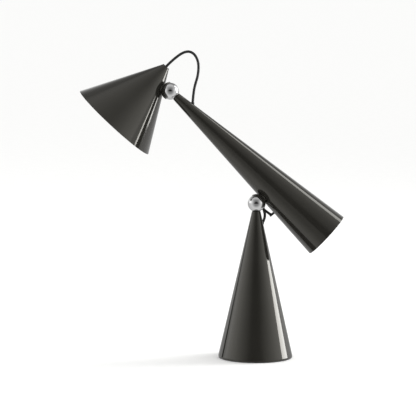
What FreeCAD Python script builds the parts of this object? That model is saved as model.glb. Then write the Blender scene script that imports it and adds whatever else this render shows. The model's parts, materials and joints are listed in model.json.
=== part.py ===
import FreeCAD, Part
import math
import os

# Architect desk lamp: three cones joined by two ball joints. Millimetres, origin at the middle of
# the foot pad's underside, +Z up, the shade to the left and the viewer on the -Y side.

V = FreeCAD.Vector

# ---------------------------------------------------------------- base, overall
BASE_D = 150.0            # widest diameter of the standing cone
BASE_SKIRT_H = 3.5        # straight band at the cone's foot
BASE_TIP_Z = 298.0        # height of the cone's tip
BASE_TIP_D = 17.2
BASE_WALL = 1.5
FOOT_T = 1.5              # foot pad
FOOT_D = 140.0
PLATE_T = 3.0
WEIGHT_H = 24.0
WEIGHT_BORE_D = 30.0

# ---------------------------------------------------------------- arm, overall
ARM_LENGTH = 414.0
ARM_THIN_D = 17.0
ARM_WIDE_D = 101.0
ARM_WALL = 1.2
ARM_DOWN_DEG = 42.4       # how far the wide end points below level
ARM_CUP_STATION = 265.7   # cup, measured from the thin end along the arm's axis
ARM_CUP_AZIMUTH_DEG = 24.7
ARM_CAP_T = 2.5
ARM_CAP_INSET = 1.5
COUNTERWEIGHT_L = 19.0

# ---------------------------------------------------------------- shade, overall
SHADE_LENGTH = 154.0
SHADE_APEX_D = 16.0
SHADE_RIM_D = 188.0
SHADE_WALL = 1.2
SHADE_DOWN_DEG = 47.4
SHADE_CUP_STATION = 36.8
SHADE_CUP_AZIMUTH_DEG = 23.7
APEX_PLUG_L = 12.0

# ---------------------------------------------------------------- ball joints
BALL_D = 34.6
BALL_SINK = 1.5           # how deep each ball sits in the dish of the tip under it
SEAT_DEPTH = 17.0         # ball centre to the outside of the cone that carries the cup
DISH_GAP = 0.4            # ball to the dish in a cone's tip
LINER_GAP = 0.05          # running fit of the ball in its liner
LINER_T = 0.5
CUP_LINER_GAP = 0.05
CUP_RIM_U = 6.0           # cup rim behind the ball's centre
CUP_WALL = 0.9
CUP_STEM_D = 19.0         # between the bowl and the cone
CUP_STEM_IN = 4.0         # how far the stem runs into the bowl and the cone
CUP_SPIGOT_D = 17.0
CUP_SPIGOT_L = 7.0        # past the cone's outside
SPIGOT_FIT = 0.1
MAGNET_D = 12.0
MAGNET_T = 4.5
MAGNET_GAP = 0.5          # ball to magnet
SADDLE_D = 27.0
SADDLE_T = 9.5
CUP_THREAD_D = 8.0
CUP_THREAD_L = 8.5

# ---------------------------------------------------------------- studs under the balls
STUD_D = 8.0
STUD_IN_BALL = 13.0
STUD_END = 22.5           # stud's end below the cone's tip
BORE_FIT = 0.1            # stud in the tip's bore, radial
THREAD_FIT = 0.02
TIP_BUSH_L = 14.0
FRICTION_WASHER_D = 16.6
FRICTION_WASHER_T = 1.4
SPRING_WASHER_D = 16.0
SPRING_WASHER_T = 1.4
WASHER_GAP = 0.05
NUT_AF = 13.0
NUT_H = 5.0
PIECE_GAP = 0.1           # between pieces that only rest in each other

# ---------------------------------------------------------------- link cables and their glands
CABLE_D = 5.4
GLAND_WALL = 0.9
GLAND_FIT = 0.05
BASE_GLAND_Z = 273.0
BASE_GLAND_AZIMUTH_DEG = 24.0
BASE_GLAND_RISE_DEG = 54.0
BASE_GLAND_IN = 4.0
BASE_GLAND_OUT = 1.5
ARM_GLAND_STATION = 34.0
ARM_GLAND_LEAN_DEG = 38.0  # from the wall's normal toward the thin end
ARM_GLAND_IN = 5.0
ARM_GLAND_OUT = 2.5
STUB_STATION = 306.5      # gland under the arm
STUB_AZIMUTH_DEG = 202.0
STUB_H = 15.6
STUB_T = 3.8
STUB_W = 7.4
STUB_SOCKET = 2.0         # how deep the cable's hole is in the tab
STUB_SOCKET_FIT = 0.6
CABLE_END_GAP = 1.2       # cable's end to the bottom of that hole
STUB_SPIGOT_D = 5.0

# ---------------------------------------------------------------- mains inlet, terminal, screws
MAINS_Z = 36.0
MAINS_HOLE_D = 10.0
MAINS_BORE_D = 6.2
MAINS_LIP = 1.6
TERMINAL_L = 34.0
TERMINAL_W = 18.0
TERMINAL_H = 14.0
TERMINAL_SCREW_D = 3.0
BASE_SCREW_D = 5.0
BASE_SCREW_HEAD_D = 9.0
BASE_SCREW_L = 16.0
BASE_SCREW_CIRCLE_D = 80.0
BASE_SCREWS = 3
BOLT_D = 8.0
BOLT_HEAD_D = 14.0
BOLT_HEAD_H = 4.0

# ---------------------------------------------------------------- lamp inside the shade
LAMP_PLATE_Z = 76.0
LAMP_PLATE_T = 2.0
LAMP_PLATE_LIP_H = 5.0
HEATSINK_D = 60.0
HEATSINK_H = 12.0
HEATSINK_FINS = 16
FIN_T = 1.6
FIN_DEPTH = 8.0
LED_BOARD_D = 52.0
LED_BOARD_T = 1.6
DIFFUSER_Z = 96.0
DIFFUSER_T = 2.0
RING_H = 4.0
RING_W = 5.0
PLATE_SCREW_D = 3.0
PLATE_SCREW_HEAD_D = 5.5
PLATE_SCREWS = 3

BALL_R = BALL_D / 2
NECK = BALL_R - BALL_SINK  # ball centre beyond the cone's tip
CUP_HOLLOW_R = BALL_R + LINER_GAP + LINER_T + CUP_LINER_GAP
CABLE_R = CABLE_D / 2

# Hand-laid routes of the link cables. Each starts in its gland, and the last point is in the other gland.
LOWER_CABLE_FIRST = 13.0  # straight out of the base's gland
LOWER_CABLE_RUN = [
    (14.5, 13.0, 303.0),
    (9.5, 25.5, 312.0),
    (8.8, 39.5, 309.0),
    (13.8, 44.0, 296.3),
]
UPPER_CABLE_FIRST = 18.0  # straight out of the shade's apex
UPPER_CABLE_LAST = 22.0   # straight into the arm's gland
UPPER_CABLE_RUN = [
    (-146.0, 38.0, 618.0),
    (-128.5, 35.8, 615.0),
    (-118.0, 32.9, 597.0),
    (-118.5, 29.0, 571.5),
    (-125.0, 25.0, 550.5),
]


# ================================================================ small tools
def save(name, shape):
    """Write one node."""
    os.makedirs("parts", exist_ok=True)
    shape.exportStep("parts/%s.step" % name)


def direction(azimuth_deg, rise_deg):
    """Unit vector from a compass angle about Z and a rise above level."""
    a = math.radians(azimuth_deg)
    b = math.radians(rise_deg)
    return V(math.cos(a) * math.cos(b), math.sin(a) * math.cos(b), math.sin(b))


def turned(points):
    """Solid of revolution about Z from (radius, height) points."""
    corners = [V(r, 0, z) for r, z in points]
    face = Part.Face(Part.makePolygon(corners + corners[:1]))
    return face.revolve(V(0, 0, 0), V(0, 0, 1), 360)


def rod(d, z0, z1, x=0.0, y=0.0):
    """Cylinder along Z between two heights."""
    return Part.makeCylinder(d / 2, z1 - z0, V(x, y, z0))


def ring(d_out, d_in, z0, z1):
    """Flat ring along Z between two heights."""
    return rod(d_out, z0, z1).cut(rod(d_in, z0 - 1, z1 + 1))


def hexagon(af, z0, z1):
    """Hexagonal prism along Z, with its corners chamfered on both faces."""
    r = af / math.sqrt(3)
    corners = [direction(60 * k, 0) * r + V(0, 0, z0) for k in range(6)]
    prism = Part.Face(Part.makePolygon(corners + corners[:1])).extrude(V(0, 0, z1 - z0))
    c = (r - af / 2) * 0.6
    return prism.common(turned([(0, z0), (r - c, z0), (r, z0 + c), (r, z1 - c), (r - c, z1), (0, z1)]))


def along(shape, origin, z_axis):
    """Carry a shape from the Z axis at the origin to another axis."""
    moved = shape.copy()
    frame = FreeCAD.Placement(origin, FreeCAD.Rotation(V(0, 0, 1), z_axis))
    moved.Placement = frame.multiply(shape.Placement)
    return moved


def placed(shape, placement):
    """Copy of a shape, moved by a placement."""
    moved = shape.copy()
    moved.Placement = placement.multiply(shape.Placement)
    return moved


class Cone:
    """Thin cone along Z, from its thin end at height 0."""

    def __init__(self, d0, d1, length, wall):
        self.r0 = d0 / 2
        self.r1 = d1 / 2
        self.length = length
        self.slope = (self.r1 - self.r0) / length
        self.half = math.atan(self.slope)
        self.wall = wall / math.cos(self.half)

    def outer(self, z):
        return self.r0 + self.slope * z

    def inner(self, z, gap=0.0):
        return self.outer(z) - self.wall - gap

    def shell(self):
        return turned([
            (self.outer(0), 0),
            (self.outer(self.length), self.length),
            (self.inner(self.length), self.length),
            (self.inner(0), 0),
        ])

    def plug(self, z0, z1, gap=PIECE_GAP):
        """Solid that fills the cone between two heights."""
        return turned([(0, z0), (self.inner(z0, gap), z0), (self.inner(z1, gap), z1), (0, z1)])

    def solid(self, z0, z1):
        """The cone's outside as a solid, past its ends if asked."""
        return turned([(0, z0), (self.outer(z0), z0), (self.outer(z1), z1), (0, z1)])

    def normal(self, azimuth_deg):
        a = math.radians(azimuth_deg)
        c = math.cos(self.half)
        return V(c * math.cos(a), c * math.sin(a), -math.sin(self.half))

    def surface(self, z, azimuth_deg):
        a = math.radians(azimuth_deg)
        return V(self.outer(z) * math.cos(a), self.outer(z) * math.sin(a), z)


# ================================================================ frames
ARM = Cone(ARM_THIN_D, ARM_WIDE_D, ARM_LENGTH, ARM_WALL)
SHADE = Cone(SHADE_APEX_D, SHADE_RIM_D, SHADE_LENGTH, SHADE_WALL)
ARM_CUP_AZIMUTH = 180.0 - ARM_CUP_AZIMUTH_DEG

LOWER_CENTRE = V(0, 0, BASE_TIP_Z + NECK)


def leaning(angle_deg, way, ball, at):
    """Placement of a cone whose axis points down by an angle, to the right (1) or left (-1)."""
    a = math.radians(angle_deg)
    axis = V(way * math.cos(a), 0, -math.sin(a))
    side = V(math.sin(a), 0, way * math.cos(a))
    turn = FreeCAD.Rotation(side, V(0, -1, 0), axis, "ZXY")
    return FreeCAD.Placement(at - turn.multVec(ball), turn)


def cup_centre(cone, station, azimuth_deg):
    """Centre of the ball that sits in a cone's cup, in the cone's frame."""
    return cone.surface(station, azimuth_deg) + cone.normal(azimuth_deg) * SEAT_DEPTH


ARM_BALL = cup_centre(ARM, ARM_CUP_STATION, ARM_CUP_AZIMUTH)
ARM_FRAME = leaning(ARM_DOWN_DEG, 1, ARM_BALL, LOWER_CENTRE)
UPPER_CENTRE = ARM_FRAME.multVec(V(0, 0, -NECK))
SHADE_BALL = cup_centre(SHADE, SHADE_CUP_STATION, SHADE_CUP_AZIMUTH_DEG)
SHADE_FRAME = leaning(SHADE_DOWN_DEG, -1, SHADE_BALL, UPPER_CENTRE)


# ================================================================ pieces of a ball joint
def tip_dish():
    """What the ball clears from a tip, in a frame with the tip's plane at 0 and the cone below."""
    return Part.makeSphere(BALL_R + DISH_GAP, V(0, 0, NECK))


def tip_bush(r_top, slope):
    """Turned bush in a cone's tip, its top at 0."""
    bush = turned([(0, -TIP_BUSH_L), (r_top + slope * TIP_BUSH_L, -TIP_BUSH_L), (r_top, 0), (0, 0)])
    return bush.cut(tip_dish()).cut(rod(STUD_D + 2 * BORE_FIT, -TIP_BUSH_L - 1, 1))


def ball():
    socket = rod(STUD_D + 2 * THREAD_FIT, NECK - BALL_R - 1, NECK - BALL_R + STUD_IN_BALL)
    return Part.makeSphere(BALL_R, V(0, 0, NECK)).cut(socket)


def stud():
    top = NECK - BALL_R + STUD_IN_BALL - PIECE_GAP
    c = 0.6
    r = STUD_D / 2
    low = -STUD_END
    return turned([(0, low), (r - c, low), (r, low + c), (r, top - c), (r - c, top), (0, top)])


def friction_washer():
    return ring(FRICTION_WASHER_D, STUD_D + 2 * BORE_FIT, -TIP_BUSH_L - FRICTION_WASHER_T, -TIP_BUSH_L)


def spring_washer():
    top = -TIP_BUSH_L - FRICTION_WASHER_T - WASHER_GAP
    bore = STUD_D + 2 * BORE_FIT
    return ring(SPRING_WASHER_D, bore, top - SPRING_WASHER_T, top)


def lock_nut():
    top = -TIP_BUSH_L - FRICTION_WASHER_T - WASHER_GAP - SPRING_WASHER_T
    return hexagon(NUT_AF, top - NUT_H, top).cut(rod(STUD_D + 2 * THREAD_FIT, top - NUT_H - 1, top + 1))


def cup_blank():
    """Outside of a cup about its own axis: a round bowl on a short stem that reaches into the cone."""
    bowl = Part.makeSphere(CUP_HOLLOW_R + CUP_WALL)
    bowl = bowl.common(rod(3 * BALL_D, CUP_RIM_U, BALL_D))
    return bowl.fuse(rod(CUP_STEM_D, CUP_HOLLOW_R - CUP_STEM_IN, SEAT_DEPTH + CUP_STEM_IN))


def cup(cone, ball_at, azimuth_deg):
    """Cup with its spigot and thread, in the cone's frame."""
    into = cone.normal(azimuth_deg) * -1
    spigot_end = SEAT_DEPTH + CUP_SPIGOT_L
    reach = 2 * BALL_D
    beside = cone.solid(max(0, ball_at.z - reach), min(cone.length, ball_at.z + reach))
    body = along(cup_blank(), ball_at, into).cut(beside)
    stem = rod(CUP_SPIGOT_D, SEAT_DEPTH - 3, spigot_end)
    thread = rod(CUP_THREAD_D, spigot_end - 1, spigot_end + CUP_THREAD_L)
    body = body.fuse([along(stem, ball_at, into), along(thread, ball_at, into)])
    hollow = Part.makeSphere(CUP_HOLLOW_R)
    pocket = rod(MAGNET_D + 2 * PIECE_GAP, 0, BALL_R + MAGNET_GAP + MAGNET_T + PIECE_GAP)
    return body.cut(along(hollow.fuse(pocket), ball_at, into)).removeSplitter()


def seat_liner():
    """Thin bowl between ball and cup, open in the middle for the magnet."""
    bowl = Part.makeSphere(BALL_R + LINER_GAP + LINER_T).cut(Part.makeSphere(BALL_R + LINER_GAP))
    keep = ring(3 * BALL_D, MAGNET_D + 1, CUP_RIM_U + 1, BALL_D)
    return bowl.common(keep)


def magnet():
    z0 = BALL_R + MAGNET_GAP
    r = MAGNET_D / 2
    c = 0.5
    z1 = z0 + MAGNET_T
    return turned([(0, z0), (r - c, z0), (r, z0 + c), (r, z1), (0, z1)])


def saddle(cone, ball_at, azimuth_deg):
    """Washer inside the cone that fits its curve and gives the nut a flat."""
    into = cone.normal(azimuth_deg) * -1
    top = SEAT_DEPTH + SADDLE_T
    blank = rod(SADDLE_D, SEAT_DEPTH - 2, top)
    stem = rod(CUP_SPIGOT_D + 2 * SPIGOT_FIT, SEAT_DEPTH - 3, SEAT_DEPTH + CUP_SPIGOT_L + PIECE_GAP)
    thread = rod(CUP_THREAD_D + 2 * THREAD_FIT, SEAT_DEPTH - 3, top + 1)
    body = along(blank.cut(stem).cut(thread), ball_at, into)
    return body.common(cone.plug(1, cone.length - 1, THREAD_FIT))


def cup_nut():
    z0 = SEAT_DEPTH + SADDLE_T
    return hexagon(NUT_AF, z0, z0 + NUT_H).cut(rod(CUP_THREAD_D + 2 * THREAD_FIT, z0 - 1, z0 + NUT_H + 1))


def spigot_hole(cone, ball_at, azimuth_deg):
    hole = rod(CUP_SPIGOT_D + 2 * SPIGOT_FIT, SEAT_DEPTH - 5, SEAT_DEPTH + CUP_SPIGOT_L + 4)
    return along(hole, ball_at, cone.normal(azimuth_deg) * -1)


def seat_pieces(cone, ball_at, azimuth_deg):
    """Liner, magnet and nut of a cup, in the cone's frame."""
    into = cone.normal(azimuth_deg) * -1
    return (
        along(seat_liner(), ball_at, into),
        along(magnet(), ball_at, into),
        along(cup_nut(), ball_at, into),
    )


# ================================================================ base
BASE_SLOPE = (BASE_D - BASE_TIP_D) / 2 / (BASE_TIP_Z - FOOT_T - BASE_SKIRT_H)
BASE_INSET = BASE_WALL * math.sqrt(1 + BASE_SLOPE * BASE_SLOPE)


def base_outer(z):
    return BASE_TIP_D / 2 + BASE_SLOPE * (BASE_TIP_Z - z)


def base_inner(z, gap=0.0):
    return base_outer(z) - BASE_INSET - gap


def base_gland_frame():
    """Where the lower cable leaves the base, and which way."""
    foot = direction(BASE_GLAND_AZIMUTH_DEG, 0) * (base_outer(BASE_GLAND_Z) - BASE_WALL / 2)
    foot.z = BASE_GLAND_Z
    return foot, direction(BASE_GLAND_AZIMUTH_DEG, BASE_GLAND_RISE_DEG)


def gland_tube(length_in, length_out):
    """Rubber tube round a cable, about Z with the cone's wall at 0."""
    bore = CABLE_D + 2 * GLAND_FIT
    outer = bore + 2 * GLAND_WALL
    r = outer / 2
    c = 0.4
    body = turned([
        (0, -length_in),
        (r, -length_in),
        (r, length_out - c),
        (r - c, length_out),
        (0, length_out),
    ])
    return body.cut(rod(bore, -length_in - 1, length_out + 1))


def gland_hole(length_in, length_out):
    return rod(CABLE_D + 4 * GLAND_FIT + 2 * GLAND_WALL, -length_in, length_out)


def mains_frame():
    """Middle of the mains inlet, on the back of the base."""
    return V(0, base_outer(MAINS_Z) - BASE_WALL / 2, MAINS_Z)


def base_shell():
    z0 = FOOT_T
    z1 = FOOT_T + BASE_SKIRT_H
    r = BASE_D / 2
    shell = turned([
        (r, z0),
        (r, z1),
        (base_outer(BASE_TIP_Z), BASE_TIP_Z),
        (base_inner(BASE_TIP_Z), BASE_TIP_Z),
        (base_inner(z1), z1),
        (base_inner(z1), z0),
    ])
    foot, way = base_gland_frame()
    shell = shell.cut(placed(tip_dish(), FreeCAD.Placement(V(0, 0, BASE_TIP_Z), FreeCAD.Rotation())))
    shell = shell.cut(along(gland_hole(8, 8), foot, way))
    inlet = along(rod(MAINS_HOLE_D, -6, 6), mains_frame(), V(0, 1, 0))
    return shell.cut(inlet)


def base_weight():
    z0 = FOOT_T + PLATE_T
    z1 = z0 + WEIGHT_H
    knee = FOOT_T + BASE_SKIRT_H
    r0 = base_inner(knee, PIECE_GAP)
    c = 2.0
    weight = turned([
        (WEIGHT_BORE_D / 2, z0),
        (r0, z0),
        (r0, knee),
        (base_inner(z1 - c, PIECE_GAP), z1 - c),
        (base_inner(z1 - c, PIECE_GAP) - c, z1),
        (WEIGHT_BORE_D / 2, z1),
    ])
    for x, y in base_screw_spots():
        weight = weight.cut(rod(BASE_SCREW_D + 2 * THREAD_FIT, z0 - 1, FOOT_T + BASE_SCREW_L + 1, x, y))
    x, y = terminal_screw_spot()
    return weight.cut(rod(TERMINAL_SCREW_D + 2 * THREAD_FIT, z1 - 8, z1 + 1, x, y))


def base_screw_spots():
    r = BASE_SCREW_CIRCLE_D / 2
    spots = []
    for k in range(BASE_SCREWS):
        a = 2 * math.pi * k / BASE_SCREWS + math.pi / 2
        spots.append((r * math.cos(a), r * math.sin(a)))
    return spots


def base_screw(x, y, fit=0.0):
    """Countersunk screw with its head flush in the plate."""
    r = BASE_SCREW_D / 2 + fit
    head = BASE_SCREW_HEAD_D / 2 + fit
    z0 = FOOT_T
    z1 = FOOT_T + BASE_SCREW_L
    screw = turned([(0, z0), (head, z0), (r, z0 + head - r), (r, z1), (0, z1)])
    screw.translate(V(x, y, 0))
    return screw


def base_plate():
    plate = rod(2 * base_inner(FOOT_T + BASE_SKIRT_H, PIECE_GAP), FOOT_T, FOOT_T + PLATE_T)
    for x, y in base_screw_spots():
        plate = plate.cut(base_screw(x, y, THREAD_FIT))
    return plate


def mains_grommet():
    """Rubber grommet with a lip on both sides of the wall."""
    bore = MAINS_BORE_D / 2
    neck = MAINS_HOLE_D / 2 - PIECE_GAP
    lip = MAINS_HOLE_D / 2 + MAINS_LIP
    h = BASE_WALL / 2 + 1.4
    body = turned([
        (bore, -h - 1.2),
        (lip, -h - 1.2),
        (lip, -h),
        (neck, -h),
        (neck, h),
        (lip, h),
        (lip, h + 0.6),
        (lip - 0.8, h + 1.6),
        (bore, h + 1.6),
    ])
    return along(body, mains_frame(), V(0, 1, 0))


def terminal_screw_spot():
    return 0.0, -(WEIGHT_BORE_D / 2 + TERMINAL_W / 2 + 4)


def terminal_block():
    """Terminal strip with three clamping bores, screwed to the weight."""
    x, y = terminal_screw_spot()
    z0 = FOOT_T + PLATE_T + WEIGHT_H
    corner = V(x - TERMINAL_L / 2, y - TERMINAL_W / 2, z0)
    block = Part.makeBox(TERMINAL_L, TERMINAL_W, TERMINAL_H, corner)
    block = block.makeFillet(1.2, [e for e in block.Edges if abs(e.tangentAt(0).z) > 0.9])
    pitch = TERMINAL_L / 3
    for k in (-1, 0, 1):
        mouth = V(x + k * pitch, corner.y - 1, z0 + 9)
        bore = Part.makeCylinder(2.2, TERMINAL_W + 2, mouth, V(0, 1, 0))
        block = block.cut(bore)
    return block.cut(rod(TERMINAL_SCREW_D + 2 * THREAD_FIT, z0 - 1, z0 + TERMINAL_H + 1, x, y))


def terminal_screw():
    x, y = terminal_screw_spot()
    z = FOOT_T + PLATE_T + WEIGHT_H + TERMINAL_H
    r = TERMINAL_SCREW_D / 2
    screw = turned([(0, z - 21), (r, z - 21), (r, z), (2 * r, z), (2 * r - 0.4, z + 2), (0, z + 2)])
    slot = Part.makeBox(8, 0.8, 1, V(-4, -0.4, z + 1.2))
    screw = screw.cut(slot)
    screw.translate(V(x, y, 0))
    return screw


def at_base_tip(shape):
    return placed(shape, FreeCAD.Placement(V(0, 0, BASE_TIP_Z), FreeCAD.Rotation()))


def build_base():
    foot, way = base_gland_frame()
    save("foot_pad", rod(FOOT_D, 0, FOOT_T))
    save("base_plate", base_plate())
    save("base_weight", base_weight())
    save("base_cone", base_shell())
    save("base_tip", at_base_tip(tip_bush(base_inner(BASE_TIP_Z, PIECE_GAP), BASE_SLOPE)))
    save("base_screws", Part.makeCompound([base_screw(x, y) for x, y in base_screw_spots()]))
    save("base_gland", along(gland_tube(BASE_GLAND_IN, BASE_GLAND_OUT), foot, way))
    save("mains_grommet", mains_grommet())
    save("terminal_block", terminal_block())
    save("terminal_screw", terminal_screw())
    save("lower_friction_washer", at_base_tip(friction_washer()))


def build_lower_ball():
    save("lower_ball", at_base_tip(ball()))
    save("lower_stud", at_base_tip(stud()))
    save("lower_spring_washer", at_base_tip(spring_washer()))
    save("lower_lock_nut", at_base_tip(lock_nut()))


# ================================================================ arm
def flipped(shape):
    """From a tip that points up to a cone whose thin end is at 0 and which grows upward."""
    return placed(shape, FreeCAD.Placement(V(0, 0, 0), FreeCAD.Rotation(V(1, 0, 0), 180)))


def arm_gland_frame():
    """Where the upper cable enters the arm, and the way out of it."""
    a = math.radians(ARM_GLAND_LEAN_DEG)
    return ARM.surface(ARM_GLAND_STATION, 0), V(math.cos(a), 0, -math.sin(a))


def stub_frame():
    """Foot of the gland under the arm, on the side away from the upper gland."""
    return ARM.surface(STUB_STATION, STUB_AZIMUTH_DEG), ARM.normal(STUB_AZIMUTH_DEG)


def arm_shell():
    shell = ARM.shell().cut(flipped(tip_dish()))
    shell = shell.cut(spigot_hole(ARM, ARM_BALL, ARM_CUP_AZIMUTH))
    foot, way = arm_gland_frame()
    shell = shell.cut(along(gland_hole(8, 8), foot, way))
    foot, way = stub_frame()
    return shell.cut(along(rod(STUB_SPIGOT_D + 2 * GLAND_FIT, -6, 6), foot, way))


def arm_cap():
    z1 = ARM_LENGTH - ARM_CAP_INSET
    z0 = z1 - ARM_CAP_T
    cap = ARM.plug(z0, z1)
    rim = [e for e in cap.Edges if e.BoundBox.ZMin > z1 - 0.01 and len(e.Vertexes) == 1]
    cap = cap.makeChamfer(0.6, rim)
    seat = rod(BOLT_HEAD_D + 2 * PIECE_GAP, z1 - BOLT_HEAD_H / 2, z1 + 1)
    return cap.cut(seat).cut(rod(BOLT_D + 2 * THREAD_FIT, z0 - 1, z1 + 1))


def counterweight():
    z1 = ARM_LENGTH - ARM_CAP_INSET - ARM_CAP_T
    z0 = z1 - COUNTERWEIGHT_L
    weight = ARM.plug(z0, z1)
    return weight.cut(rod(BOLT_D + 2 * THREAD_FIT, z0 - 1, z1 + 1))


def counterweight_bolt():
    """Button-headed bolt through the cap into the counterweight."""
    z1 = ARM_LENGTH - ARM_CAP_INSET
    z_seat = z1 - BOLT_HEAD_H / 2
    r = BOLT_D / 2
    head = BOLT_HEAD_D / 2
    body = turned([
        (0, z1 - ARM_CAP_T - COUNTERWEIGHT_L + 2),
        (r, z1 - ARM_CAP_T - COUNTERWEIGHT_L + 2),
        (r, z_seat),
        (head, z_seat),
        (head, z_seat + BOLT_HEAD_H / 2),
        (head - 1.2, z_seat + BOLT_HEAD_H),
        (0, z_seat + BOLT_HEAD_H),
    ])
    return body.cut(hexagon(5.0, z_seat + BOLT_HEAD_H - 2.5, z_seat + BOLT_HEAD_H + 1))


def arm_stub_gland():
    """Tab under the arm that takes the lower cable's end, with a spigot through the wall."""
    w = STUB_W / 2
    straight = STUB_H - w
    face = -STUB_T / 2
    tab = Part.makeBox(STUB_T, STUB_W, straight + 4, V(face, -w, -4))
    tab = tab.fuse(Part.makeCylinder(w, STUB_T, V(face, 0, straight), V(1, 0, 0)))
    mouth = V(face - 1, 0, straight)
    socket = Part.makeCylinder(CABLE_R + STUB_SOCKET_FIT, STUB_SOCKET + 1, mouth, V(1, 0, 0))
    foot, way = stub_frame()
    frame = FreeCAD.Placement(foot, FreeCAD.Rotation(V(0, 0, 1), V(0, 0, 0), way, "ZXY"))
    tab = placed(tab.cut(socket), frame).cut(ARM.solid(0, ARM_LENGTH))
    spigot = along(rod(STUB_SPIGOT_D, -ARM_WALL - 3, 1), foot, way)
    return tab.fuse(spigot).removeSplitter()


def in_arm(name, shape):
    save(name, placed(shape, ARM_FRAME))


def build_arm():
    liner, disc, nut = seat_pieces(ARM, ARM_BALL, ARM_CUP_AZIMUTH)
    foot, way = arm_gland_frame()
    in_arm("arm_cone", arm_shell())
    in_arm("arm_tip", flipped(tip_bush(ARM.inner(0, PIECE_GAP), ARM.slope)))
    in_arm("arm_end_cap", arm_cap())
    in_arm("arm_counterweight", counterweight())
    in_arm("counterweight_bolt", counterweight_bolt())
    in_arm("lower_cup", cup(ARM, ARM_BALL, ARM_CUP_AZIMUTH))
    in_arm("lower_seat_liner", liner)
    in_arm("lower_magnet", disc)
    in_arm("lower_saddle_washer", saddle(ARM, ARM_BALL, ARM_CUP_AZIMUTH))
    in_arm("lower_cup_nut", nut)
    in_arm("arm_lower_gland", arm_stub_gland())
    in_arm("arm_upper_gland", along(gland_tube(ARM_GLAND_IN, ARM_GLAND_OUT), foot, way))
    in_arm("upper_friction_washer", flipped(friction_washer()))


def build_upper_ball():
    in_arm("upper_ball", flipped(ball()))
    in_arm("upper_stud", flipped(stud()))
    in_arm("upper_spring_washer", flipped(spring_washer()))
    in_arm("upper_lock_nut", flipped(lock_nut()))


# ================================================================ shade
def apex_plug():
    """Plug in the shade's flat end, with a rounded lip and the cable's bore."""
    r = SHADE.outer(0)
    c = 0.8
    plug = turned([
        (0, -1.6),
        (r - c, -1.6),
        (r, -1.6 + c),
        (r, -PIECE_GAP),
        (SHADE.inner(0, PIECE_GAP), -PIECE_GAP),
        (SHADE.inner(APEX_PLUG_L, PIECE_GAP), APEX_PLUG_L),
        (0, APEX_PLUG_L),
    ])
    return plug.cut(rod(CABLE_D + 2 * GLAND_FIT, -3, APEX_PLUG_L + 1))


def shade_shell():
    return SHADE.shell().cut(spigot_hole(SHADE, SHADE_BALL, SHADE_CUP_AZIMUTH_DEG))


def plate_screw_spots():
    r = HEATSINK_D / 2 + 7
    spots = []
    for k in range(PLATE_SCREWS):
        a = 2 * math.pi * k / PLATE_SCREWS
        spots.append((r * math.cos(a), r * math.sin(a)))
    return spots


def lamp_ring():
    """Ledge fixed to the shade's inside that the lamp plate is screwed to."""
    z0 = LAMP_PLATE_Z - LAMP_PLATE_LIP_H
    hole = 2 * (HEATSINK_D / 2 + 2)
    ledge = SHADE.plug(z0, LAMP_PLATE_Z).cut(rod(hole, z0 - 1, LAMP_PLATE_Z + 1))
    for x, y in plate_screw_spots():
        ledge = ledge.cut(rod(PLATE_SCREW_D + 2 * THREAD_FIT, z0 - 1, LAMP_PLATE_Z + 1, x, y))
    return ledge


def lamp_plate():
    r = SHADE.inner(LAMP_PLATE_Z, 2 * PIECE_GAP)
    plate = rod(2 * r, LAMP_PLATE_Z, LAMP_PLATE_Z + LAMP_PLATE_T)
    for x, y in plate_screw_spots():
        plate = plate.cut(rod(PLATE_SCREW_D + 2 * THREAD_FIT, LAMP_PLATE_Z - 1, LAMP_PLATE_Z + 4, x, y))
    return plate


def plate_screw(x, y):
    z = LAMP_PLATE_Z + LAMP_PLATE_T
    r = PLATE_SCREW_D / 2
    head = PLATE_SCREW_HEAD_D / 2
    screw = turned([(0, z - 6), (r, z - 6), (r, z), (head, z), (head - 0.5, z + 1.8), (0, z + 1.8)])
    screw.translate(V(x, y, 0))
    return screw


def heatsink():
    """Finned disc behind the lamp plate."""
    z1 = LAMP_PLATE_Z
    z0 = z1 - HEATSINK_H
    body = rod(HEATSINK_D, z0, z1)
    gap_w = math.pi * HEATSINK_D / HEATSINK_FINS - FIN_T - 4
    for k in range(HEATSINK_FINS):
        corner = V(HEATSINK_D * 0.28, -gap_w / 2, z0 - 1)
        gap = Part.makeBox(HEATSINK_D, gap_w, FIN_DEPTH, corner)
        gap.rotate(V(0, 0, 0), V(0, 0, 1), 360.0 * k / HEATSINK_FINS)
        body = body.cut(gap)
    return body


def led_board():
    z0 = LAMP_PLATE_Z + LAMP_PLATE_T
    board = rod(LED_BOARD_D, z0, z0 + LED_BOARD_T)
    chips = []
    for k in range(8):
        a = 2 * math.pi * k / 8
        chip = Part.makeBox(4, 4, 0.9, V(-2 + 17 * math.cos(a), -2 + 17 * math.sin(a), z0 + LED_BOARD_T))
        chips.append(chip)
    return board.fuse(chips)


def diffuser():
    r = SHADE.inner(DIFFUSER_Z, 2 * PIECE_GAP)
    z1 = DIFFUSER_Z + DIFFUSER_T
    return turned([(0, DIFFUSER_Z), (r, DIFFUSER_Z), (r, z1), (r - 3, z1), (0, z1 + 3)])


def diffuser_ring():
    """Snap ring that holds the diffuser."""
    z0 = DIFFUSER_Z + DIFFUSER_T + PIECE_GAP
    z1 = z0 + RING_H
    r0 = SHADE.inner(z0, PIECE_GAP)
    r1 = SHADE.inner(z1, PIECE_GAP)
    return turned([(r0 - 2.6, z0), (r0, z0), (r1, z1), (r1 - RING_W + 1, z1), (r0 - 2.6, z0 + 1)])


def diffuser_ledge():
    """Ledge above the diffuser."""
    z1 = DIFFUSER_Z - PIECE_GAP
    z0 = z1 - 3
    return SHADE.plug(z0, z1).cut(rod(2 * SHADE.inner(z0) - 10, z0 - 1, z1 + 1))


def in_shade(name, shape):
    save(name, placed(shape, SHADE_FRAME))


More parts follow.
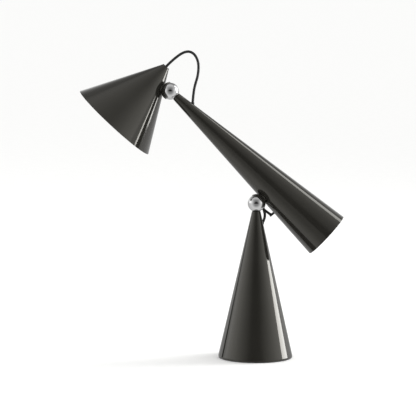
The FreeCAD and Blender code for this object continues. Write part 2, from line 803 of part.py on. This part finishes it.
def build_shade():
    liner, disc, nut = seat_pieces(SHADE, SHADE_BALL, SHADE_CUP_AZIMUTH_DEG)
    in_shade("shade_cone", shade_shell())
    in_shade("apex_plug", apex_plug())
    in_shade("upper_cup", cup(SHADE, SHADE_BALL, SHADE_CUP_AZIMUTH_DEG))
    in_shade("upper_seat_liner", liner)
    in_shade("upper_magnet", disc)
    in_shade("upper_saddle_washer", saddle(SHADE, SHADE_BALL, SHADE_CUP_AZIMUTH_DEG))
    in_shade("upper_cup_nut", nut)
    in_shade("lamp_ring", lamp_ring())
    in_shade("lamp_plate", lamp_plate())
    in_shade("lamp_plate_screws", Part.makeCompound([plate_screw(x, y) for x, y in plate_screw_spots()]))
    in_shade("heatsink", heatsink())
    in_shade("led_board", led_board())
    in_shade("diffuser_ledge", diffuser_ledge())
    in_shade("diffuser", diffuser())
    in_shade("diffuser_ring", diffuser_ring())


# ================================================================ link cables
def lower_cable_points():
    """Whole route of the lower link cable, from the base's gland to the tab under the arm."""
    foot, way = base_gland_frame()
    inside = foot - way * (BASE_GLAND_IN - 1)
    first = foot + way * LOWER_CABLE_FIRST
    end_local, out = stub_frame()
    end_local = end_local + out * (STUB_H - STUB_W / 2)
    end_local.z -= STUB_T / 2 - STUB_SOCKET + CABLE_END_GAP
    return [inside, first] + [V(*p) for p in LOWER_CABLE_RUN] + [ARM_FRAME.multVec(end_local)]


def upper_cable_points():
    """Whole route of the upper link cable, from the shade's apex to the arm."""
    start = SHADE_FRAME.multVec(V(0, 0, 4))
    first = SHADE_FRAME.multVec(V(0, 0, -UPPER_CABLE_FIRST))
    foot, way = arm_gland_frame()
    last = ARM_FRAME.multVec(foot + way * UPPER_CABLE_LAST)
    end = ARM_FRAME.multVec(foot - way * 2)
    return [start, first] + [V(*p) for p in UPPER_CABLE_RUN] + [last, end]


def cable(name, points):
    """Round tube along straight runs joined by tangent arcs."""
    edges = []
    at = points[0]
    radii = []
    length = 0.0
    for k in range(1, len(points) - 1):
        before = points[k - 1] - points[k]
        after = points[k + 1] - points[k]
        turn = math.pi - before.getAngle(after)
        back = 0.45 * min(before.Length, after.Length)
        radius = back / math.tan(turn / 2)
        u = before.normalize()
        w = after.normalize()
        start = points[k] + u * back
        end = points[k] + w * back
        bisector = (u + w).normalize()
        centre = points[k] + bisector * (radius / math.cos(turn / 2))
        middle = centre - bisector * radius
        edges.append(Part.LineSegment(at, start).toShape())
        edges.append(Part.Arc(start, middle, end).toShape())
        length += (start - at).Length + radius * turn
        radii.append(radius)
        at = end
    edges.append(Part.LineSegment(at, points[-1]).toShape())
    length += (points[-1] - at).Length
    path = Part.Wire(edges)
    first = (points[1] - points[0]).normalize()
    section = Part.Wire(Part.Circle(points[0], first, CABLE_R).toShape())
    tube = path.makePipeShell([section], True, True)
    expected = math.pi * CABLE_R ** 2 * length
    print("%s radii %s mm, length %.1f mm, volume %.4f of expected" % (
        name, [round(r, 1) for r in radii], length, tube.Volume / expected))
    if abs(tube.Volume / expected - 1) > 0.01:
        raise ValueError("%s: the tube's volume doesn't match its length" % name)
    return tube


def build_cables():
    save("lower_link_cable", cable("lower_link_cable", lower_cable_points()))
    save("upper_link_cable", cable("upper_link_cable", upper_cable_points()))


def main():
    build_base()
    build_lower_ball()
    build_arm()
    build_upper_ball()
    build_shade()
    build_cables()
    for name, frame in (("arm", ARM_FRAME), ("shade", SHADE_FRAME)):
        print(name, "origin", frame.Base, "axis", frame.Rotation.multVec(V(0, 0, 1)))
    print("lower centre", LOWER_CENTRE, "upper centre", UPPER_CENTRE)
    print("lower cable", [tuple(round(c, 2) for c in p) for p in lower_cable_points()])
    print("upper cable", [tuple(round(c, 2) for c in p) for p in upper_cable_points()])


main()
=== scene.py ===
"""Finishes, link cables and studio for a desk lamp of three cones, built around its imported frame."""

import json
import math

import bmesh
import bpy
from mathutils import Matrix, Vector


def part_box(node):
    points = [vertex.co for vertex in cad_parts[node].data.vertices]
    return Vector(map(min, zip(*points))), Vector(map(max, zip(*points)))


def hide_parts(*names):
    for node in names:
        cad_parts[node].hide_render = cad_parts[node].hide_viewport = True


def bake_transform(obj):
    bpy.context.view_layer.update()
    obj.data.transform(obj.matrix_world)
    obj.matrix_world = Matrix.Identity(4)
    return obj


bl_info = {
    "name": "Architect desk lamp",
    "version": (1, 0, 0),
    "blender": (4, 5, 0),
    "location": "View3D > Sidebar > Lamp",
    "description": "Paints a three-cone desk lamp, runs its link cables and lights it in a studio",
    "category": "Object",
}

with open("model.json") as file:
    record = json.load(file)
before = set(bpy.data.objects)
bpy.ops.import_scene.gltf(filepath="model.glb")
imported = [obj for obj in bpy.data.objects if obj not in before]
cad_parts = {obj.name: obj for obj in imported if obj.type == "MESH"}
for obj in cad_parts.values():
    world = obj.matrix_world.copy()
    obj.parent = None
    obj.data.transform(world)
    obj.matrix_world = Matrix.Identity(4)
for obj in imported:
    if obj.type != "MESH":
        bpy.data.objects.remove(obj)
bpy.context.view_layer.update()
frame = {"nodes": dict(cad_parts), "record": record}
MM = 0.001

# ---------------------------------------------------------------- routes of the link cables, in metres
# From the gland in the base's tip, round behind the ball, to the tab under the arm.
LOWER_ROUTE = [
    (0.01074, 0.00478, 0.27057),
    (0.01933, 0.00861, 0.28352),
    (0.0145, 0.0130, 0.3030),
    (0.0095, 0.0255, 0.3120),
    (0.0088, 0.0395, 0.3090),
    (0.0138, 0.0440, 0.2963),
    (0.02962, 0.04115, 0.2866),
]
# Out of the shade's apex, over the top and down behind the arm into its gland.
UPPER_ROUTE = [
    (-0.18718, 0.03932, 0.58253),
    (-0.17229, 0.03932, 0.59872),
    (-0.1460, 0.0380, 0.6180),
    (-0.1285, 0.0358, 0.6150),
    (-0.1180, 0.0329, 0.5970),
    (-0.1185, 0.0290, 0.5715),
    (-0.1250, 0.0250, 0.5505),
    (-0.12801, 0.02188, 0.53477),
    (-0.12985, 0.02188, 0.51084),
]
# Share of the length at which a cable's two pieces meet.
LOWER_SPLIT = 0.39
UPPER_SPLIT = 0.32


# ---------------------------------------------------------------- small tools
def linear(hex_colour):
    """Linear RGB of an sRGB hex colour."""
    channels = [int(hex_colour[i : i + 2], 16) / 255 for i in (1, 3, 5)]
    return [c / 12.92 if c <= 0.04045 else ((c + 0.055) / 1.055) ** 2.4 for c in channels]


def add(tree, kind, inputs=None, **settings):
    """Add one node: its settings, and for each input a value or the socket that feeds it."""
    made = tree.nodes.new(kind)
    for name, value in settings.items():
        setattr(made, name, value)
    for name, value in (inputs or {}).items():
        if isinstance(value, bpy.types.NodeSocket):
            tree.links.new(value, made.inputs[name])
        else:
            made.inputs[name].default_value = value
    return made


def new_material(name, colour, roughness, **sockets):
    """A Principled material with its even values on the shader's own sockets, and its tree and shader."""
    made = bpy.data.materials.new(name)
    made.use_nodes = True
    tree = made.node_tree
    shader = tree.nodes["Principled BSDF"]
    shader.inputs["Base Color"].default_value = (*colour, 1.0)
    shader.inputs["Roughness"].default_value = roughness
    for socket, value in sockets.items():
        shader.inputs[socket.replace("_", " ").title().replace("Ior", "IOR")].default_value = value
    return made, tree, shader


def grain(tree, size_mm, detail=2.0, stretch=(1, 1, 1)):
    """Noise with features about size_mm across, fixed to the object. Returns its value from 0 to 1."""
    place = add(tree, "ShaderNodeTexCoord")
    scaled = add(
        tree,
        "ShaderNodeMapping",
        {"Vector": place.outputs["Object"], "Scale": [s / (size_mm * MM) for s in stretch]},
    )
    noise = add(
        tree, "ShaderNodeTexNoise", {"Vector": scaled.outputs["Vector"], "Scale": 1.0, "Detail": detail}
    )
    return noise.outputs["Fac"]


def share_of(tree, value, start, end, at_start, at_end):
    """A value that goes from at_start to at_end as its input goes from start to end."""
    ranged = add(tree, "ShaderNodeMapRange", {"Value": value, "From Min": start, "From Max": end})
    ranged.inputs["To Min"].default_value = at_start
    ranged.inputs["To Max"].default_value = at_end
    return ranged.outputs["Result"]


def spread_over(tree, noise, low, high):
    """Noise spread over a range of its own. Most of Blender's noise lies between 0.3 and 0.7."""
    return share_of(tree, noise, 0.3, 0.7, low, high)


def shaded(tree, value, dark, light):
    """Colour between two linear colours, by a value from 0 to 1."""
    mixed = add(tree, "ShaderNodeMix", {"Factor": value}, data_type="RGBA")
    mixed.inputs["A"].default_value = (*dark, 1.0)
    mixed.inputs["B"].default_value = (*light, 1.0)
    return mixed.outputs["Result"]


def relief(tree, shader, height, depth_mm):
    """Bump of a depth in millimetres on the shader."""
    bump = add(tree, "ShaderNodeBump", {"Height": height, "Distance": depth_mm * MM, "Strength": 1.0})
    tree.links.new(bump.outputs["Normal"], shader.inputs["Normal"])


def scaled_colour(colour, share):
    """Linear colour made darker or lighter by a share."""
    return [c * share for c in colour]


def nodes_of(slot):
    """CAD nodes that the record gives one finish."""
    return [frame["nodes"][s["node"]] for s in frame["record"]["subparts"] if s["material_slot"] == slot]


def paint(nodes, finish):
    """Give CAD nodes one material."""
    for node in nodes:
        node.data.materials.clear()
        node.data.materials.append(finish)


def middle(node):
    """Middle of a CAD node's box."""
    low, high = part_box(node)
    return (low + high) / 2


# ---------------------------------------------------------------- finishes
# A face of the shade is an inner one when it faces its axis by more than this cosine.
FACES_AXIS = 0.5


def gloss_lacquer(colour, roughness):
    """Two-pack acrylic lacquer, sprayed on spun metal and flatted: a deep colour under a hard wet
    gloss that mirrors the room in clean edges, with the faintest orange peel. Its reflections are a little
    warmer than those in the chrome."""
    made, tree, shader = new_material(
        "dark_gloss_lacquer", colour, roughness, ior=1.5, specular_tint=(1.0, 0.975, 0.89, 1.0)
    )
    cloud = spread_over(tree, grain(tree, 60.0), 0.0, 1.0)
    tint = shaded(tree, cloud, scaled_colour(colour, 0.93), scaled_colour(colour, 1.07))
    tree.links.new(tint, shader.inputs["Base Color"])
    # Polishing leaves the gloss uneven over a hand's breadth.
    tree.links.new(
        spread_over(tree, grain(tree, 45.0), roughness * 0.8, roughness * 1.3), shader.inputs["Roughness"]
    )
    # Orange peel is 1 to 3 mm from crest to crest, drawn at 5 mm so that it shows.
    relief(tree, shader, grain(tree, 5.0, detail=0.0), 0.004)
    return made


def white_lacquer():
    """White acrylic lacquer sprayed inside the shade: satin, so that it throws the light out evenly."""
    colour = linear("#ECEBE6")
    made, tree, shader = new_material("white_satin_lacquer", colour, 0.42, ior=1.5)
    relief(tree, shader, grain(tree, 2.5, detail=1.0), 0.012)
    tree.links.new(spread_over(tree, grain(tree, 30.0), 0.36, 0.5), shader.inputs["Roughness"])
    return made


def chrome_plate():
    """Chromium over nickel on a turned and lapped steel ball: a bright, neutral mirror, a little worn."""
    made, tree, shader = new_material("chrome_plated_steel", linear("#C4C4C4"), 0.05, metallic=1.0)
    tree.links.new(spread_over(tree, grain(tree, 9.0), 0.03, 0.08), shader.inputs["Roughness"])
    return made


def zinc_plate():
    """Bright zinc on turned or stamped steel: a dull silver with a cloudy sheen."""
    colour = linear("#B9BBBC")
    made, tree, shader = new_material("zinc_plated_steel", colour, 0.34, metallic=1.0)
    cloud = spread_over(tree, grain(tree, 4.0), 0.0, 1.0)
    tint = shaded(tree, cloud, scaled_colour(colour, 0.85), colour)
    tree.links.new(tint, shader.inputs["Base Color"])
    tree.links.new(spread_over(tree, grain(tree, 2.0), 0.26, 0.44), shader.inputs["Roughness"])
    return made


def raw_casting():
    """Grey iron as it leaves the sand: dark, matt and rough, with grains of about a millimetre."""
    colour = linear("#4A4A4B")
    made, tree, shader = new_material("sand_cast_iron", colour, 0.72, metallic=1.0)
    sand = grain(tree, 1.2, detail=3.0)
    tint = shaded(tree, spread_over(tree, sand, 0.0, 1.0), scaled_colour(colour, 0.6), colour)
    tree.links.new(tint, shader.inputs["Base Color"])
    relief(tree, shader, sand, 0.25)
    return made


def moulded_rubber(name, colour, grain_mm, depth_mm, roughness):
    """Moulded or extruded rubber: deep black with a soft, broad shine and a fine skin."""
    made, tree, shader = new_material(name, colour, roughness, ior=1.52)
    skin = grain(tree, grain_mm, detail=1.0)
    relief(tree, shader, skin, depth_mm)
    tree.links.new(
        spread_over(tree, skin, roughness * 0.85, min(1.0, roughness * 1.2)), shader.inputs["Roughness"]
    )
    tint = shaded(tree, spread_over(tree, grain(tree, 12.0), 0.0, 1.0), scaled_colour(colour, 0.8), colour)
    tree.links.new(tint, shader.inputs["Base Color"])
    return made


def moulded_plastic(name, colour):
    """Injection-moulded nylon with a spark-eroded skin: even, with a fine dull grain."""
    made, tree, shader = new_material(name, colour, 0.45, ior=1.53)
    skin = grain(tree, 0.8, detail=1.0)
    relief(tree, shader, skin, 0.02)
    tree.links.new(spread_over(tree, skin, 0.38, 0.55), shader.inputs["Roughness"])
    return made


def nickel_plate():
    """Nickel on a sintered magnet: a warm, soft-edged silver."""
    made, tree, shader = new_material("nickel_plated_magnet", linear("#B5AFA4"), 0.22, metallic=1.0)
    tree.links.new(spread_over(tree, grain(tree, 3.0), 0.16, 0.3), shader.inputs["Roughness"])
    return made


def spun_aluminium():
    """Aluminium as pressed or turned: a soft white metal with fine rolling lines."""
    colour = linear("#C9CBCD")
    made, tree, shader = new_material("mill_finish_aluminium", colour, 0.3, metallic=1.0)
    lines = grain(tree, 1.5, detail=2.0, stretch=(1, 12, 12))
    tree.links.new(spread_over(tree, lines, 0.22, 0.42), shader.inputs["Roughness"])
    relief(tree, shader, lines, 0.01)
    return made


def board_mask():
    """White solder mask printed on an aluminium board: flat white with a slight gloss."""
    made, tree, shader = new_material("white_solder_mask", linear("#E9EAE6"), 0.35, ior=1.55)
    tree.links.new(spread_over(tree, grain(tree, 1.0), 0.3, 0.42), shader.inputs["Roughness"])
    return made


def opal_acrylic():
    """Cast opal acrylic with a matt face: milky, with light that soaks in below the surface."""
    made, tree, shader = new_material(
        "opal_acrylic", linear("#F1F1ED"), 0.38, ior=1.49, subsurface_weight=0.35, subsurface_scale=0.004
    )
    relief(tree, shader, grain(tree, 0.6, detail=1.0), 0.01)
    tree.links.new(spread_over(tree, grain(tree, 8.0), 0.34, 0.44), shader.inputs["Roughness"])
    return made


# ---------------------------------------------------------------- tubes
def smooth_line(route):
    """Points along the smooth curve that has the route's points as its controls."""
    curve = bpy.data.curves.new("route", "CURVE")
    curve.dimensions = "3D"
    curve.resolution_u = 16
    spline = curve.splines.new("NURBS")
    spline.points.add(len(route) - 1)
    for control, point in zip(spline.points, route):
        control.co = (*point, 1.0)
    spline.order_u = 3
    spline.use_endpoint_u = True
    holder = bpy.data.objects.new("route", curve)
    mesh = bpy.data.meshes.new_from_object(holder)
    line = [v.co.copy() for v in mesh.vertices]
    bpy.data.objects.remove(holder)
    bpy.data.curves.remove(curve)
    bpy.data.meshes.remove(mesh)
    return line


def length_of(line):
    """Length along a line of points."""
    return sum((b - a).length for a, b in zip(line, line[1:]))


def ring_frames(line):
    """A side direction at each point of a line that turns as little as it can."""
    ahead = [(b - a).normalized() for a, b in zip(line, line[1:])]
    ahead.append(ahead[-1])
    side = ahead[0].orthogonal().normalized()
    frames = []
    for k, way in enumerate(ahead):
        here = (way + ahead[max(k - 1, 0)]).normalized()
        side = (side - here * side.dot(here)).normalized()
        frames.append((side, here.cross(side)))
    return frames


def tube(name, line, radius, sides, first, last):
    """Closed round tube along the line's points from first to last, on the whole line's own frames."""
    frames = ring_frames(line)
    shape = bmesh.new()
    rings = []
    for k in range(first, last + 1):
        side, up = frames[k]
        turns = [2 * math.pi * s / sides for s in range(sides)]
        rings.append(
            [shape.verts.new(line[k] + (side * math.cos(t) + up * math.sin(t)) * radius) for t in turns]
        )
    for low, high in zip(rings, rings[1:]):
        for s in range(sides):
            n = (s + 1) % sides
            shape.faces.new((low[s], low[n], high[n], high[s])).smooth = True
    shape.faces.new(rings[0][::-1])
    shape.faces.new(rings[-1])
    bmesh.ops.recalc_face_normals(shape, faces=shape.faces)
    mesh = bpy.data.meshes.new(name)
    shape.to_mesh(mesh)
    shape.free()
    piece = bpy.data.objects.new(name, mesh)
    bpy.context.scene.collection.objects.link(piece)
    return piece


def lay_link_cable(name, route, split, node):
    """A link cable as two pieces that meet at a share of its length."""
    settings = bpy.context.scene.lamp_cables
    finish = moulded_rubber(
        "extruded_rubber_flex", settings.colour, grain_mm=1.5, depth_mm=0.01, roughness=0.42
    )
    line = smooth_line(route)
    whole = length_of(line)
    shares = [length_of(line[: k + 1]) / whole for k in range(len(line))]

    def at(share):
        return min(range(len(line)), key=lambda k: abs(shares[k] - share))

    cut = at(split)
    for k, (first, last) in enumerate(((0, cut), (cut, len(line) - 1))):
        piece = tube("%s_%d" % (name, k + 1), line, settings.diameter / 2, settings.sides, first, last)
        piece.data.materials.append(finish)
        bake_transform(piece)
        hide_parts(node)


# ---------------------------------------------------------------- settings
class LampFinishes(bpy.types.PropertyGroup):
    """Looks of the lacquer"""

    colour: bpy.props.FloatVectorProperty(
        name="Lacquer",
        description="Colour of the cones and cups",
        subtype="COLOR",
        default=linear("#242320"),
        min=0,
        max=1,
    )
    gloss_roughness: bpy.props.FloatProperty(
        name="Lacquer roughness",
        description="How much the lacquer's reflections blur",
        subtype="FACTOR",
        default=0.06,
        min=0,
        max=1,
    )


class LampCables(bpy.types.PropertyGroup):
    """Looks and sizes of the link cables"""

    colour: bpy.props.FloatVectorProperty(
        name="Flex",
        description="Colour of the cables' jacket",
        subtype="COLOR",
        default=linear("#141414"),
        min=0,
        max=1,
    )
    diameter: bpy.props.FloatProperty(
        name="Diameter",
        description="Diameter of the cables' jacket",
        unit="LENGTH",
        default=5.4 * MM,
        min=1 * MM,
        max=12 * MM,
    )
    lower_length: bpy.props.FloatProperty(
        name="Lower length", description="Length of the lower cable", unit="LENGTH", default=96.1 * MM
    )
    upper_length: bpy.props.FloatProperty(
        name="Upper length", description="Length of the upper cable", unit="LENGTH", default=179.4 * MM
    )
    sides: bpy.props.IntProperty(
        name="Sides", description="Facets round a cable", default=28, min=8, max=64
    )


class LampStudio(bpy.types.PropertyGroup):
    """Camera and floor"""

    camera_distance: bpy.props.FloatProperty(
        name="Camera distance", description="Camera to the lamp's middle", unit="LENGTH", default=5.0
    )
    camera_rise: bpy.props.FloatProperty(
        name="Camera rise",
        description="How far the camera looks down",
        subtype="ANGLE",
        default=math.radians(6.32),
    )
    camera_roll: bpy.props.FloatProperty(
        name="Camera roll",
        description="Turn of the camera about its own line of sight",
        subtype="ANGLE",
        default=math.radians(0.38),
    )
    focal_length: bpy.props.FloatProperty(
        name="Focal length", description="Camera's focal length in millimetres", default=214.6
    )
    floor_radius: bpy.props.FloatProperty(
        name="Floor radius", description="Radius of the pale floor", unit="LENGTH", default=60.0
    )
    floor_colour: bpy.props.FloatVectorProperty(
        name="Floor",
        description="Colour of the floor and backdrop",
        subtype="COLOR",
        default=linear("#F4F4F3"),
        min=0,
        max=1,
    )


# ---------------------------------------------------------------- pieces
class LAMP_OT_lacquered_cones(bpy.types.Operator):
    """Lacquer the cones, tips and cups, with the shade white inside"""

    bl_idname = "lamp.lacquered_cones"
    bl_label = "Lacquered cones"

    def execute(self, context):
        settings = context.scene.lamp_finishes
        lacquer = gloss_lacquer(settings.colour, settings.gloss_roughness)
        paint(nodes_of("lacquer_steel") + nodes_of("lacquer_aluminium"), lacquer)
        shade = frame["nodes"]["shade_cone"].data
        shade.materials.append(white_lacquer())
        apex = middle("apex_plug")
        axis = (middle("diffuser") - apex).normalized()
        for face in shade.polygons:
            out = face.center - apex
            out -= axis * out.dot(axis)
            face.material_index = 1 if face.normal.dot(out.normalized()) < -FACES_AXIS else 0
        return {"FINISHED"}


class LAMP_OT_plated_parts(bpy.types.Operator):
    """Plate the balls, studs, nuts, screws and magnets"""

    bl_idname = "lamp.plated_parts"
    bl_label = "Plated parts"

    def execute(self, context):
        paint(nodes_of("chrome_plate"), chrome_plate())
        paint(nodes_of("zinc_steel"), zinc_plate())
        paint(nodes_of("magnet_nickel"), nickel_plate())
        return {"FINISHED"}


class LAMP_OT_moulded_parts(bpy.types.Operator):
    """Finish the glands, grommet, foot pad, liners and terminal block"""

    bl_idname = "lamp.moulded_parts"
    bl_label = "Moulded parts"

    def execute(self, context):
        paint(nodes_of("black_plastic"), moulded_plastic("black_moulded_nylon", linear("#1B1B1B")))
        paint(nodes_of("liner_plastic"), moulded_plastic("natural_moulded_acetal", linear("#DAD9D2")))
        rubber = moulded_rubber(
            "moulded_rubber_pad", linear("#191919"), grain_mm=0.9, depth_mm=0.05, roughness=0.7
        )
        paint(nodes_of("pad_rubber"), rubber)
        return {"FINISHED"}


class LAMP_OT_weights(bpy.types.Operator):
    """Finish the weights in the base and in the arm"""

    bl_idname = "lamp.weights"
    bl_label = "Weights"

    def execute(self, context):
        paint(nodes_of("ballast_iron"), raw_casting())
        return {"FINISHED"}


class LAMP_OT_light_source(bpy.types.Operator):
    """Finish the lamp plate, heat sink, board and diffuser in the shade"""

    bl_idname = "lamp.light_source"
    bl_label = "Light source"

    def execute(self, context):
        paint(nodes_of("bare_aluminium"), spun_aluminium())
        paint(nodes_of("board_white"), board_mask())
        paint(nodes_of("opal_acrylic"), opal_acrylic())
        return {"FINISHED"}


class LAMP_OT_lower_cable(bpy.types.Operator):
    """Run the cable from the base, behind the ball, to the arm"""

    bl_idname = "lamp.lower_cable"
    bl_label = "Lower cable"

    def execute(self, context):
        lay_link_cable("lower_cable", LOWER_ROUTE, LOWER_SPLIT, "lower_link_cable")
        return {"FINISHED"}


class LAMP_OT_upper_cable(bpy.types.Operator):
    """Run the cable from the shade's apex, over the top, to the arm"""

    bl_idname = "lamp.upper_cable"
    bl_label = "Upper cable"

    def execute(self, context):
        lay_link_cable("upper_cable", UPPER_ROUTE, UPPER_SPLIT, "upper_link_cable")
        return {"FINISHED"}


# ---------------------------------------------------------------- studio
# The point on the lamp's axis that the camera faces. It stands right of the frame's middle, and a little
# below it, by these shares of the frame's width.
TARGET = Vector((0, 0, 0.3))
SHIFT_RIGHT = 0.11596
SHIFT_DOWN = 0.005144
# Radiance of the even white light all round the lamp.
BACKDROP = 1.08
# Radiance that full white stands for in the mirrored room's two ramps.
BRIGHTEST = 3.0
# Radiance of the mirrored room by depth, from the camera's side (0) to the backdrop (1), above and below
# level.
WALLS = [
    (0.0, 0.01), (0.03, 0.03), (0.09, 0.4), (0.2, 0.85), (0.36, 1.4),
    (0.5, 1.65), (0.64, 1.8), (0.72, 1.15), (1.0, 1.15),
]
TABLE = [(0.0, 0.3), (0.06, 0.4), (0.15, 0.7), (0.28, 1.0), (0.53, 0.9), (0.8, 0.75), (1.0, 0.6)]
# The dark gap between the room's left wall and its backdrop: its direction, the angles from it at which its
# soft edge starts and ends, and the share of the light that is left in it.
GAP_WAY = Vector((-0.812, 0.577, 0.084)).normalized()
GAP_DEGREES = (6.0, 4.5)
GAP_SHARE = 0.02


def place_camera(settings):
    data = bpy.data.cameras.new("camera")
    data.sensor_width = 36.0
    data.lens = settings.focal_length
    data.shift_x = -SHIFT_RIGHT
    data.shift_y = SHIFT_DOWN
    data.clip_end = 200.0
    camera = bpy.data.objects.new("camera", data)
    back = Vector((0, -math.cos(settings.camera_rise), math.sin(settings.camera_rise)))
    look = (-back).to_track_quat("-Z", "Y").to_matrix() @ Matrix.Rotation(settings.camera_roll, 3, "Z")
    camera.matrix_world = Matrix.Translation(TARGET + back * settings.camera_distance) @ look.to_4x4()
    bpy.context.scene.collection.objects.link(camera)
    bpy.context.scene.camera = camera


def lay_floor(settings):
    """Round pale floor that fills the picture behind the lamp."""
    shape = bmesh.new()
    bmesh.ops.create_circle(shape, cap_ends=True, segments=128, radius=settings.floor_radius)
    mesh = bpy.data.meshes.new("studio_floor")
    shape.to_mesh(mesh)
    shape.free()
    floor = bpy.data.objects.new("studio_floor", mesh)
    bpy.context.scene.collection.objects.link(floor)
    colour = settings.floor_colour
    finish, tree, shader = new_material("matt_white_paper", colour, 0.9, specular_ior_level=0.0)
    cloud = spread_over(tree, grain(tree, 40.0), 0.0, 1.0)
    tree.links.new(shaded(tree, cloud, scaled_colour(colour, 0.985), colour), shader.inputs["Base Color"])
    mesh.materials.append(finish)
    # Mirror reflections see the room's own lower half instead, which is darker than the paper.
    floor.visible_glossy = False


def softbox(name, place, aim, size, brightness, lean=0.0):
    """Rectangular softbox that faces a point and leans by an angle in its own plane. Its brightness is its
    radiance, with white paper near 1."""
    data = bpy.data.lights.new(name, "AREA")
    data.shape = "RECTANGLE"
    data.size, data.size_y = size
    data.energy = brightness * math.pi * size[0] * size[1]
    light = bpy.data.objects.new(name, data)
    way = Vector(aim) - Vector(place)
    facing = way.to_track_quat("-Z", "Y").to_matrix() @ Matrix.Rotation(math.radians(lean), 3, "Z")
    light.matrix_world = Matrix.Translation(place) @ facing.to_4x4()
    light.visible_camera = False
    bpy.context.scene.collection.objects.link(light)


def brightness_by_depth(tree, axes, stops):
    """Brightness that follows the direction from the camera's side (0) to the backdrop (1)."""
    depth = add(tree, "ShaderNodeMapRange", {"Value": axes.outputs["Y"], "From Min": -1.0, "From Max": 1.0})
    ramp = add(tree, "ShaderNodeValToRGB", {"Fac": depth.outputs["Result"]})
    elements = ramp.color_ramp.elements
    while len(elements) < len(stops):
        elements.new(0.5)
    for element, (position, brightness) in zip(elements, stops):
        element.position = position
        element.color = (brightness / BRIGHTEST, brightness / BRIGHTEST, brightness / BRIGHTEST, 1.0)
    return ramp.outputs["Color"]


def times(tree, first, second):
    """Product of two values."""
    return add(tree, "ShaderNodeMath", {0: first, 1: second}, operation="MULTIPLY").outputs["Value"]


def light_room():
    """Even white light for everything but mirror reflections, which see a room that is dim on the camera's
    side and overhead, brighter to the sides and white behind."""
    world = bpy.data.worlds.new("studio")
    world.use_nodes = True
    bpy.context.scene.world = world
    tree = world.node_tree
    tree.nodes.clear()
    place = add(tree, "ShaderNodeTexCoord")
    axes = add(tree, "ShaderNodeSeparateXYZ", {"Vector": place.outputs["Generated"]})
    walls = brightness_by_depth(tree, axes, WALLS)
    table = brightness_by_depth(tree, axes, TABLE)
    above = share_of(tree, axes.outputs["Z"], -0.02, 0.02, 0.0, 1.0)
    both_halves = add(tree, "ShaderNodeMix", {"Factor": above}, data_type="RGBA")
    tree.links.new(table, both_halves.inputs["A"])
    tree.links.new(walls, both_halves.inputs["B"])
    toward = add(
        tree, "ShaderNodeVectorMath", {0: place.outputs["Generated"], 1: GAP_WAY}, operation="DOT_PRODUCT"
    )
    gap_edge, gap_middle = (math.cos(math.radians(a)) for a in GAP_DEGREES)
    gap = share_of(tree, toward.outputs["Value"], gap_edge, gap_middle, 1.0, GAP_SHARE)
    # Steep directions overhead get half of their depth's brightness.
    overhead = share_of(tree, axes.outputs["Z"], 0.3, 0.7, 1.0, 0.5)
    # The backdrop's light falls off toward the ceiling.
    high_behind = times(tree, times(tree, axes.outputs["Y"], axes.outputs["Z"]), above)
    ceiling = share_of(tree, high_behind, 0.1, 0.5, 1.0, 0.5)
    strength = times(tree, times(tree, times(tree, gap, overhead), ceiling), BRIGHTEST)
    room = add(
        tree, "ShaderNodeBackground", {"Color": both_halves.outputs["Result"], "Strength": strength}
    )
    backdrop = add(tree, "ShaderNodeBackground", {"Color": (1, 1, 1, 1), "Strength": BACKDROP})
    ray = add(tree, "ShaderNodeLightPath")
    chosen = add(tree, "ShaderNodeMixShader", {0: ray.outputs["Is Glossy Ray"]})
    tree.links.new(backdrop.outputs["Background"], chosen.inputs[1])
    tree.links.new(room.outputs["Background"], chosen.inputs[2])
    out = add(tree, "ShaderNodeOutputWorld")
    tree.links.new(chosen.outputs["Shader"], out.inputs["Surface"])


class LAMP_OT_studio(bpy.types.Operator):
    """Set up the camera, pale floor and soft lights"""

    bl_idname = "lamp.studio"
    bl_label = "Studio"

    def execute(self, context):
        settings = context.scene.lamp_studio
        place_camera(settings)
        lay_floor(settings)
        light_room()
        softbox("right_softbox_low", (2.09, 0.66, 0.85), (0, 0, 0.85), (1.0, 1.6), 9.0, lean=-9.0)
        softbox("right_softbox_high", (1.98, 0.95, 2.45), (0, 0, 2.0), (0.85, 1.5), 4.0)
        context.scene.view_settings.view_transform = "Standard"
        return {"FINISHED"}


# ---------------------------------------------------------------- add-on
PIECES = (
    LAMP_OT_lacquered_cones,
    LAMP_OT_plated_parts,
    LAMP_OT_moulded_parts,
    LAMP_OT_weights,
    LAMP_OT_light_source,
    LAMP_OT_lower_cable,
    LAMP_OT_upper_cable,
    LAMP_OT_studio,
)
SETTINGS = {"lamp_finishes": LampFinishes, "lamp_cables": LampCables, "lamp_studio": LampStudio}


class LAMP_PT_panel(bpy.types.Panel):
    """The lamp's steps in the sidebar"""

    bl_label = "Desk lamp"
    bl_idname = "LAMP_PT_panel"
    bl_space_type = "VIEW_3D"
    bl_region_type = "UI"
    bl_category = "Lamp"

    def draw(self, context):
        for name, group in SETTINGS.items():
            box = self.layout.box()
            for field in group.__annotations__:
                box.prop(getattr(context.scene, name), field)
        for piece in PIECES:
            self.layout.operator(piece.bl_idname)


def register():
    for name, group in SETTINGS.items():
        bpy.utils.register_class(group)
        setattr(bpy.types.Scene, name, bpy.props.PointerProperty(type=group))
    for made in (*PIECES, LAMP_PT_panel):
        bpy.utils.register_class(made)


def unregister():
    for made in (LAMP_PT_panel, *reversed(PIECES)):
        bpy.utils.unregister_class(made)
    for name, group in SETTINGS.items():
        delattr(bpy.types.Scene, name)
        bpy.utils.unregister_class(group)


def main():
    register()
    for piece in PIECES:
        section, step = piece.bl_idname.split(".")
        getattr(getattr(bpy.ops, section), step)()


if __name__ == "__main__":
    main()
